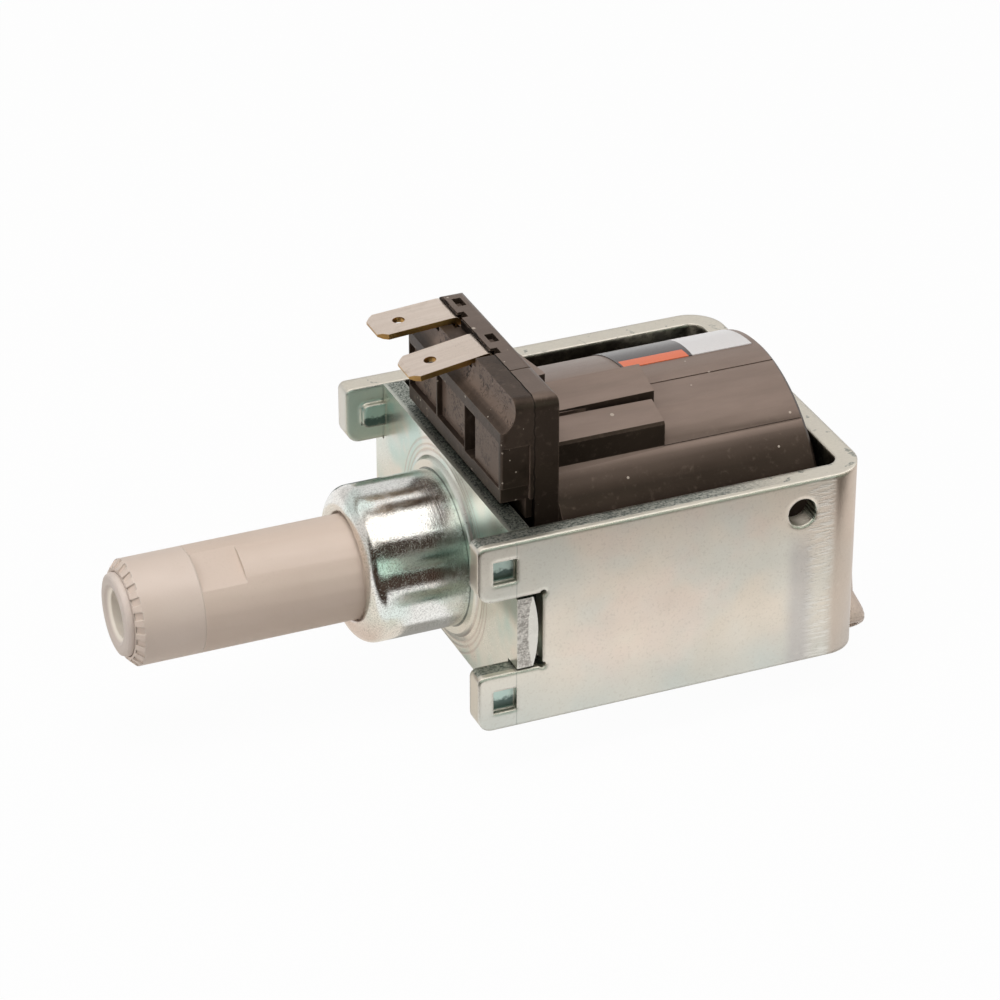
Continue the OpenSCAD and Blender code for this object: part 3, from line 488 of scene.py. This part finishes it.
def bright_zinc():
    f = Finish("bright_zinc", Metallic=1.0)
    x, _, z = f.axes(f.point)
    tints = f.group(CLOUDY, "Colour", Size=9.0, Main=srgb(242, 241, 236), Second=srgb(212, 230, 222),
                    Third=srgb(236, 226, 216), Share=0.6)
    tints = f.wash(tints, srgb(170, 198, 190), f.ramp(x, 2.5 * MM, 5.5 * MM), 0.5)
    # The drawn front edge is pinker below, and the whole cup has a fine dark grain
    low = f.times(f.ramp(x, CUP_FRONT + 2.7 * MM, CUP_FRONT + 0.8 * MM), f.ramp(z, -2 * MM, -8 * MM))
    tints = f.wash(tints, srgb(216, 192, 180), low, 0.7)
    sand = f.noise(f.point, 5200.0, 2.0, 0.7)
    tints = f.wash(tints, srgb(108, 100, 94), f.ramp(sand, 0.46, 0.64), 0.34)
    marks = f.group(SCRATCHES, "Mask", Length=4.0, Width=0.09, Share=0.4)
    tints = f.wash(tints, srgb(120, 112, 104), marks, 0.35)
    # Lighter edges: partly wear, partly a painted highlight
    wear_and_highlight = f.group(EDGE_WEAR_AND_HIGHLIGHT, "Mask", Reach=0.3, Break=0.3)
    tints = f.wash(tints, srgb(240, 238, 232), wear_and_highlight, 0.3)
    f.colour(tints)
    # Drawing lines that run round the cup, strongest near the plate
    rings = f.noise(f.point, 1.0, 2.0, 0.6, stretch=(3800, 60, 60))
    pitted = f.noise(f.point, 520.0, 4.0, 0.7)
    worn = f.ramp(x, -1.0 * MM, 4.5 * MM)
    ragged = f.ramp(pitted, 0.5, 0.66)
    satin = f.math("MULTIPLY_ADD", worn, 0.1, 0.09)
    satin = f.math("MULTIPLY_ADD", ragged, 0.12, satin)
    drawn = f.ramp(x, CUP_FRONT + 3.0 * MM, CUP_FRONT + 2.2 * MM)
    satin = f.math("MULTIPLY_ADD", drawn, 0.06, satin)
    f.rough(f.math("MULTIPLY_ADD", f.math("SUBTRACT", rings, 0.5), 0.12, satin, clamp=True))
    height = f.times(rings, f.math("MULTIPLY_ADD", worn, 0.5, 0.18))
    height = f.math("MULTIPLY_ADD", pitted, 0.7, height)
    height = f.math("MULTIPLY_ADD", sand, 0.5, height)
    height = f.math("MULTIPLY_ADD", marks, -0.6, height)
    f.bump(height, 0.026, 0.8, 0.6)
    return f.material


def ivory(name, lit, shade, specks=0.12, bore=None):
    f = Finish(name, IOR=1.5)
    tone = f.noise(f.point, 55.0, 3.0, 0.55)
    base = f.mix(f.ramp(tone, 0.35, 0.68), lit, shade)
    fine = f.group(GRAIN, "Value", Size=0.28)
    base = f.wash(base, srgb(176, 156, 134), f.ramp(fine, 0.55, 0.8), 0.12)
    dust = f.group(SPECKS, "Mask", Spacing=3.6, Size=0.17, Share=specks)
    base = f.wash(base, srgb(96, 70, 52), dust, 0.85)
    # Lighter edges: partly wear, partly a painted highlight
    wear_and_highlight = f.group(EDGE_WEAR_AND_HIGHLIGHT, "Mask", Reach=0.25, Break=0.2)
    base = f.wash(base, srgb(240, 232, 222), wear_and_highlight, 0.4)
    if bore:
        # Painted light in the bore, for the light that the thin wall lets in
        _, y, z = f.axes(f.point)
        base = f.wash(base, bore, f.ramp(f.reach(y, z), COLLET_BORE_R + 0.7 * MM, COLLET_BORE_R + 0.2 * MM))
    f.colour(base)
    f.rough(f.math("MULTIPLY_ADD", fine, 0.16, 0.36))
    f.bump(f.math("MULTIPLY_ADD", tone, 0.5, fine), 0.012, 0.6, 0.25)
    return f.material


def painted_seam_shade(f, x):
    """Painted shade in the uneven gap between the terminal cover and the plate behind it."""
    wander = f.times(f.math("SUBTRACT", f.noise(f.point, 700.0, 2.0, 0.6), 0.5), 0.5 * MM)
    return f.band(f.math("ADD", x, wander), COVER_BACK - 0.09 * MM, COVER_BACK + 0.09 * MM, 0.05 * MM)


def coil_plastic():
    f = Finish("coil_plastic", IOR=1.5, Specular_IOR_Level=0.4, Specular_Tint=WARM_SHEEN)
    x = f.axes(f.point)[0]
    tone = f.noise(f.point, 60.0, 3.0, 0.6)
    base = f.mix(f.ramp(tone, 0.35, 0.7), srgb(43, 35, 29), srgb(54, 45, 38))
    fine = f.group(GRAIN, "Value", Size=0.2)
    # Painted light on what faces up, broken into streaks, and weaker on the carrier than on the coil
    streak_noise = f.noise(f.point, 1.0, 3.0, 0.6, stretch=(90, 420, 420))
    upward = f.ramp(f.axes(f.normal)[2], 0.66, 0.88)
    painted_top_light = f.times(upward, f.ramp(x, COIL_FRONT, COIL_FRONT + 0.4 * MM, 0.45, 1.0))
    painted_top_light = f.times(painted_top_light, f.math("MULTIPLY_ADD", streak_noise, 0.5, 0.6), clamp=True)
    base = f.wash(base, srgb(142, 125, 115), painted_top_light)
    marks = f.group(SCRATCHES, "Mask", Length=2.0, Width=0.09, Share=0.2)
    base = f.wash(base, srgb(104, 92, 82), marks, 0.25)
    # Lighter edges: partly wear, partly a painted highlight
    wear_and_highlight = f.group(EDGE_WEAR_AND_HIGHLIGHT, "Mask", Reach=0.35, Break=0.5)
    base = f.wash(base, srgb(128, 112, 100), wear_and_highlight, 0.32)
    dust = f.group(SPECKS, "Mask", Spacing=1.7, Size=0.3, Share=0.2)
    base = f.wash(base, srgb(190, 178, 164), dust, 0.8)
    # Painted shade in the gap behind the terminal cover
    base = f.wash(base, srgb(16, 13, 12), painted_seam_shade(f, x))
    f.colour(base)
    f.rough(f.math("MULTIPLY_ADD", fine, 0.2, 0.28))
    height = f.math("MULTIPLY_ADD", marks, -0.4, f.math("MULTIPLY_ADD", streak_noise, 0.8, fine))
    f.bump(height, 0.02, 0.7)
    return f.material


def cover_plastic():
    f = Finish("cover_plastic", IOR=1.5, Specular_IOR_Level=0.45, Specular_Tint=WARM_SHEEN)
    x = f.axes(f.point)[0]
    tone = f.noise(f.point, 110.0, 3.0, 0.6)
    base = f.mix(f.ramp(tone, 0.35, 0.7), srgb(43, 35, 29), srgb(59, 48, 41))
    fine = f.group(GRAIN, "Value", Size=0.22)
    coarse = f.noise(f.point, 900.0, 4.0, 0.7)
    # Lighter edges: partly wear, partly a painted highlight
    wear_and_highlight = f.group(EDGE_WEAR_AND_HIGHLIGHT, "Mask", Reach=0.3, Break=0.5)
    base = f.wash(base, srgb(128, 112, 100), wear_and_highlight, 0.38)
    dust = f.group(SPECKS, "Mask", Spacing=1.0, Size=0.2, Share=0.26)
    base = f.wash(base, srgb(190, 178, 164), dust, 0.8)
    # The sunk panels of the front are paler and rough, with dark pits in patches
    panel = f.times(f.facing(0), f.ramp(x, COVER_FRONT + 0.2 * MM, COVER_FRONT + 0.5 * MM))
    pits = f.noise(f.point, 1500.0, 2.0, 0.6, distort=1.5)
    pitted = f.times(panel, f.times(f.ramp(pits, 0.5, 0.6), f.ramp(tone, 0.44, 0.54)))
    mottle = f.noise(f.point, 330.0, 4.0, 0.65)
    base = f.wash(base, srgb(18, 14, 12), f.ramp(mottle, 0.5, 0.66), 0.6)
    base = f.wash(base, srgb(118, 101, 90), panel, 0.75)
    base = f.wash(base, srgb(20, 16, 15), pitted, 0.85)
    # Painted shade in the gap behind the terminal cover
    base = f.wash(base, srgb(16, 13, 12), painted_seam_shade(f, x))
    f.colour(base)
    f.rough(f.math("MULTIPLY_ADD", fine, 0.22, 0.36))
    height = f.math("MULTIPLY_ADD", coarse, f.times(panel, 0.8), fine)
    f.bump(f.math("MULTIPLY_ADD", pitted, -0.9, height), 0.03, 0.7)
    return f.material


def tinned_brass():
    f = Finish("tinned_brass", Metallic=1.0)
    x, y, _ = f.axes(f.point)
    flat = f.facing(2, 0.7, 0.9)
    along = f.noise(f.point, 1.0, 3.0, 0.6, stretch=(90, 1400, 300))
    tin = f.mix(f.ramp(along, 0.3, 0.75), srgb(244, 229, 216), srgb(236, 220, 206))
    patch = f.noise(f.point, 260.0, 3.0, 0.6)
    tin = f.wash(tin, srgb(198, 182, 164), f.ramp(patch, 0.56, 0.7), 0.25)
    # Worn patch at the nearer blade's tip
    spot = f.times(f.band(y, -2.2 * MM, 0.4 * MM, 0.7 * MM), f.band(x, 0.2 * MM, 1.6 * MM, 0.6 * MM))
    spot = f.times(spot, f.ramp(patch, 0.4, 0.55))
    tin = f.wash(tin, srgb(128, 108, 84), spot, 0.7)
    brass = f.mix(f.ramp(patch, 0.4, 0.65), srgb(196, 158, 98), srgb(150, 112, 66))
    surface = f.mix(flat, brass, tin)
    marks = f.group(SCRATCHES, "Mask", Length=2.5, Width=0.07, Share=0.5)
    surface = f.wash(surface, srgb(150, 132, 112), marks, 0.35)
    # Lighter edges: partly wear, partly a painted highlight
    wear_and_highlight = f.group(EDGE_WEAR_AND_HIGHLIGHT, "Mask", Reach=0.12, Break=0.2)
    surface = f.wash(surface, srgb(206, 172, 118), wear_and_highlight, 0.6)
    f.colour(surface)
    f.rough(f.math("MULTIPLY_ADD", along, 0.1, 0.3))
    f.bump(f.math("MULTIPLY_ADD", marks, -0.6, f.times(along, 0.4)), 0.01, 0.6)
    return f.material


def label_film():
    """A bare three-field film: white at the back, orange on the near side, and black."""
    f = Finish("label_film", IOR=1.45, Coat_Weight=0.5, Coat_Roughness=0.2)
    x, y, _ = f.axes(f.point)
    white_front = 42.35 * MM
    orange_front = 32.35 * MM
    orange_back = 41.85 * MM
    orange_side = 2.75 * MM
    white = f.ramp(f.math("MULTIPLY_ADD", y, -0.08, x), white_front, white_front + 0.05 * MM)
    orange = f.times(f.band(x, orange_front, orange_back, 0.04 * MM),
                     f.ramp(y, orange_side, orange_side - 0.05 * MM))
    field = f.mix(white, srgb(50, 40, 36), srgb(222, 218, 216))
    field = f.wash(field, srgb(226, 104, 52), orange)
    fine = f.group(GRAIN, "Value", Size=0.3)
    marks = f.group(SCRATCHES, "Mask", Length=2.0, Width=0.07, Share=0.4)
    field = f.wash(field, srgb(150, 146, 142), marks, 0.25)
    field = f.wash(field, srgb(170, 160, 150), f.ramp(fine, 0.5, 0.9), 0.12)
    f.colour(field)
    f.rough(f.math("MULTIPLY_ADD", fine, 0.2, 0.28))
    f.bump(f.math("MULTIPLY_ADD", marks, -0.5, fine), 0.008, 0.5)
    return f.material


def turned_metal(name, bright, painted_inner_shade, rough, ring_scale=2600.0):
    """A metal turned or drawn about the pump axis, for the parts inside."""
    f = Finish(name, Metallic=1.0)
    rings = f.noise(f.point, 1.0, 2.0, 0.6, stretch=(ring_scale, 90, 90))
    tone = f.noise(f.point, 140.0, 3.0, 0.6)
    base = f.mix(f.ramp(tone, 0.35, 0.68), bright, painted_inner_shade)
    # Lighter edges: partly wear, partly a painted highlight
    wear_and_highlight = f.group(EDGE_WEAR_AND_HIGHLIGHT, "Mask", Reach=0.15, Break=0.3)
    worn = (*(min(1.0, c * 1.25) for c in bright[:3]), 1.0)
    base = f.wash(base, worn, wear_and_highlight, 0.4)
    f.colour(base)
    f.rough(f.math("MULTIPLY_ADD", rings, 0.18, rough))
    f.bump(f.math("MULTIPLY_ADD", tone, 0.4, rings), 0.01, 0.7)
    return f.material


def moulded(name, main, other, rough):
    """A plain moulded plastic or rubber, for the parts inside."""
    f = Finish(name, IOR=1.5)
    tone = f.noise(f.point, 160.0, 3.0, 0.6)
    base = f.mix(f.ramp(tone, 0.35, 0.68), main, other)
    fine = f.group(GRAIN, "Value", Size=0.25)
    dust = f.group(SPECKS, "Mask", Spacing=1.8, Size=0.12, Share=0.1)
    base = f.wash(base, srgb(150, 140, 130), dust, 0.5)
    f.colour(base)
    f.rough(f.math("MULTIPLY_ADD", fine, 0.2, rough))
    f.bump(f.math("MULTIPLY_ADD", tone, 0.5, fine), 0.015, 0.7)
    return f.material


def copper_wire():
    """Enamelled wire wound in layers: fine ridges along the spool."""
    f = Finish("copper_wire", Metallic=1.0, Coat_Weight=0.6, Coat_Roughness=0.15)
    wave = f.node("TexWave", {"Vector": f.point, "Scale": 900.0, "Distortion": 0.4, "Detail": 1.0},
                  wave_type="BANDS", bands_direction="X", wave_profile="SIN")
    tone = f.noise(f.point, 150.0, 3.0, 0.6)
    base = f.mix(f.ramp(tone, 0.35, 0.65), srgb(190, 110, 62), srgb(158, 78, 42))
    f.colour(f.mix(f.times(wave.outputs["Fac"], 0.4), base, srgb(90, 44, 26)))
    f.rough(f.math("MULTIPLY_ADD", tone, 0.2, 0.22))
    f.bump(wave.outputs["Fac"], 0.05, 0.8)
    return f.material


FINISHES = {
    "zinc_sheet": zinc_sheet(),
    "zinc_plate": zinc_plate(),
    "bright_zinc": bright_zinc(),
    "ivory_plastic": ivory("ivory_plastic", srgb(208, 189, 174), srgb(200, 180, 164)),
    "nose_plastic": ivory("nose_plastic", srgb(217, 200, 187), srgb(209, 191, 177)),
    "collet_plastic": ivory("collet_plastic", srgb(214, 200, 190), srgb(206, 192, 182), 0.2,
                            srgb(250, 240, 226)),
    "inlet_plastic": ivory("inlet_plastic", srgb(228, 209, 193), srgb(218, 198, 180)),
    "coil_plastic": coil_plastic(),
    "cover_plastic": cover_plastic(),
    "tinned_brass": tinned_brass(),
    "label_film": label_film(),
    "copper_wire": copper_wire(),
    "spring_steel": turned_metal("spring_steel", srgb(190, 192, 196), srgb(160, 162, 168), 0.2, 900.0),
    "brass": turned_metal("brass", srgb(214, 180, 112), srgb(190, 152, 90), 0.2),
    "magnetic_steel": turned_metal("magnetic_steel", srgb(150, 151, 154), srgb(124, 124, 128), 0.28),
    "piston_steel": turned_metal("piston_steel", srgb(206, 208, 210), srgb(184, 186, 190), 0.12),
    "washer_steel": turned_metal("washer_steel", srgb(206, 204, 194), srgb(184, 190, 182), 0.26, 400.0),
    "dark_nylon": moulded("dark_nylon", srgb(52, 52, 54), srgb(64, 64, 66), 0.42),
    "black_rubber": moulded("black_rubber", srgb(30, 30, 31), srgb(42, 42, 43), 0.5),
    "valve_rubber": moulded("valve_rubber", srgb(48, 48, 52), srgb(60, 60, 64), 0.5),
    "natural_nylon": moulded("natural_nylon", srgb(228, 222, 208), srgb(216, 208, 192), 0.4),
    "bobbin_plastic": moulded("bobbin_plastic", srgb(46, 46, 46), srgb(60, 60, 60), 0.4),
}

for part in frame["record"]["subparts"]:
    data = NODES[part["node"]].data
    for i in range(len(data.materials)):
        data.materials[i] = FINISHES[part["material_slot"]]


# Edges of the solids that the eye meets are broken, as the real ones are

def soften(node, width):
    """Eases a piece's sharp edges. width is in mm."""
    piece = NODES[node]
    weld = piece.modifiers.new("weld", "WELD")
    weld.merge_threshold = 0.002 * MM
    bevel = piece.modifiers.new("soft_edges", "BEVEL")
    bevel.width = width * MM
    bevel.segments = 3
    bevel.limit_method = "ANGLE"
    bevel.angle_limit = math.radians(32)
    bevel.use_clamp_overlap = True
    bevel.harden_normals = True
    bevel.miter_outer = "MITER_ARC"


for node, width in (("yoke", 0.5), ("front_plate", 0.22), ("outlet_body", 0.08), ("coil_moulding", 0.2),
                    ("terminal_cover", 0.22), ("terminals", 0.06)):
    soften(node, width)


# Floor, backdrop and lamps

PUMP_MIDDLE = Vector((0.01, 0.0, 0.0))
CARD_Z = FLOOR_Z + 0.2 * MM
ROOM_BROWN = srgb(62, 50, 44)


def stage_material(name, colour, glow):
    """A pale surface that camera, mirror and glass rays see as nearly plain white."""
    material = bpy.data.materials.new(name)
    net = bare_net(material)
    paint = net.node("BsdfDiffuse", {"Color": colour})
    white = net.node("Emission", {"Color": (1, 1, 1, 1), "Strength": 1.0})
    path = net.node("LightPath")
    seen = net.math("MAXIMUM", path.outputs["Is Camera Ray"],
                    net.math("MAXIMUM", path.outputs["Is Glossy Ray"], path.outputs["Is Transmission Ray"]))
    blend = net.node("MixShader", {0: net.times(seen, glow), 1: paint.outputs[0], 2: white.outputs[0]})
    net.node("OutputMaterial", {"Surface": blend.outputs[0]})
    return material


def level_corners(x0, y0, x1, y1, z):
    return [(x, y, z) for x, y in ((x0, y0), (x1, y0), (x1, y1), (x0, y1))]


def add_floor():
    half = 3.0
    mesh = bpy.data.meshes.new("floor")
    mesh.from_pydata(level_corners(-half, -half, half, half, FLOOR_Z), [], [(0, 1, 2, 3)])
    floor = put_in_scene("floor", mesh)
    mesh.materials.append(stage_material("floor_paper", (0.62, 0.61, 0.6, 1), glow=0.97))


def add_world():
    world = bpy.data.worlds.new("world")
    bpy.context.scene.world = world
    net = bare_net(world)
    soft = net.node("Background", {"Color": (1.0, 0.99, 0.98, 1), "Strength": 0.26})
    white = net.node("Background", {"Color": (1, 1, 1, 1), "Strength": 1.0})
    room = net.node("Background", {"Color": (1, 1, 1, 1), "Strength": 0.75})
    path = net.node("LightPath")
    clear = net.math("MAXIMUM", path.outputs["Is Camera Ray"], path.outputs["Is Transmission Ray"])
    mirrored = path.outputs["Is Glossy Ray"]
    first = net.node("MixShader", {0: mirrored, 1: soft.outputs[0], 2: room.outputs[0]})
    last = net.node("MixShader", {0: clear, 1: first.outputs[0], 2: white.outputs[0]})
    net.node("OutputWorld", {"Surface": last.outputs[0]})


def add_lamp(name, at, width, height, power):
    """A soft box that faces the pump and that mirror-like surfaces don't show."""
    data = bpy.data.lights.new(name, "AREA")
    data.shape = "RECTANGLE"
    data.size = width
    data.size_y = height
    data.energy = power
    lamp = put_in_scene(name, data)
    lamp.location = at
    lamp.rotation_euler = (PUMP_MIDDLE - Vector(at)).to_track_quat("-Z", "Y").to_euler()
    lamp.visible_glossy = False


def add_card(name, points, faces, colour):
    """A card that only mirror-like surfaces show."""
    mesh = bpy.data.meshes.new(name)
    mesh.from_pydata(points, [], faces)
    card = put_in_scene(name, mesh)
    material = bpy.data.materials.new(name)
    net = bare_net(material)
    glow = net.node("Emission", {"Color": colour, "Strength": 1.0})
    net.node("OutputMaterial", {"Surface": glow.outputs[0]})
    mesh.materials.append(material)
    card.visible_camera = False
    card.visible_diffuse = False
    card.visible_shadow = False
    card.visible_transmission = False


def add_strip(name, low, high, colour):
    """A strip along the pump, between two angles that run from the near horizon over the top."""
    start = -0.9
    end = 2.2
    distance = 1.0
    steps = 4
    points = []
    for i in range(steps + 1):
        a = math.radians(low + (high - low) * i / steps)
        for x in (start, end):
            points.append((x, -distance * math.cos(a), distance * math.sin(a)))
    add_card(name, points, [(2 * i, 2 * i + 1, 2 * i + 3, 2 * i + 2) for i in range(steps)], colour)


def add_floor_card(name, low, high, colour):
    """A flat card on the floor between two corners in x and y, in millimetres."""
    corners = level_corners(*(v * MM for v in (*low, *high)), CARD_Z)
    add_card(name, corners, [(0, 1, 2, 3)], colour)


add_floor()
add_world()
add_lamp("overhead_box", (-0.05, -0.1, 0.75), width=0.55, height=0.4, power=3.7)
add_lamp("left_box", (-0.75, -0.25, 0.4), width=0.4, height=0.5, power=2.2)
add_lamp("front_box", (0.25, -0.85, 0.35), width=0.5, height=0.3, power=0.35)

# What the bright metal mirrors: strips over the pump, from the near side to the far one
add_strip("near_horizon", -3, 7, srgb(70, 58, 52))
add_strip("near_pale", 7, 29, srgb(212, 244, 231))
add_strip("near_dark", 29, 55, srgb(72, 64, 58))
add_strip("top_white", 55, 95, (1.7, 1.68, 1.65, 1))
add_strip("top_grey", 95, 107, srgb(176, 172, 168))
add_strip("far_white", 107, 128, (1.05, 1.05, 1.05, 1))
add_strip("far_dark", 128, 138, srgb(140, 130, 122))

# Cards on the floor, and one upright to the left
add_floor_card("table_dark", (-900, -1000), (2200, -80), srgb(76, 64, 57))
add_floor_card("left_dark", (-900, -80), (-9, -36), ROOM_BROWN)
add_floor_card("before_cup", (-60, -19), (0.6, 60), srgb(238, 230, 220))
# A darker card under the cup: painted shadow of the floor there, as the mirrors see it
add_floor_card("under_cup", (0.6, -10), (16, 16), srgb(160, 158, 154))
add_floor_card("behind_cup", (5, 24), (90, 140), srgb(96, 106, 102))
wall = [(-0.9, y, z) for y, z in ((-0.95, 0.75), (-0.1, 0.75), (-0.1, CARD_Z), (-0.95, CARD_Z))]
add_card("left_wall", wall, [(0, 1, 2, 3)], ROOM_BROWN)
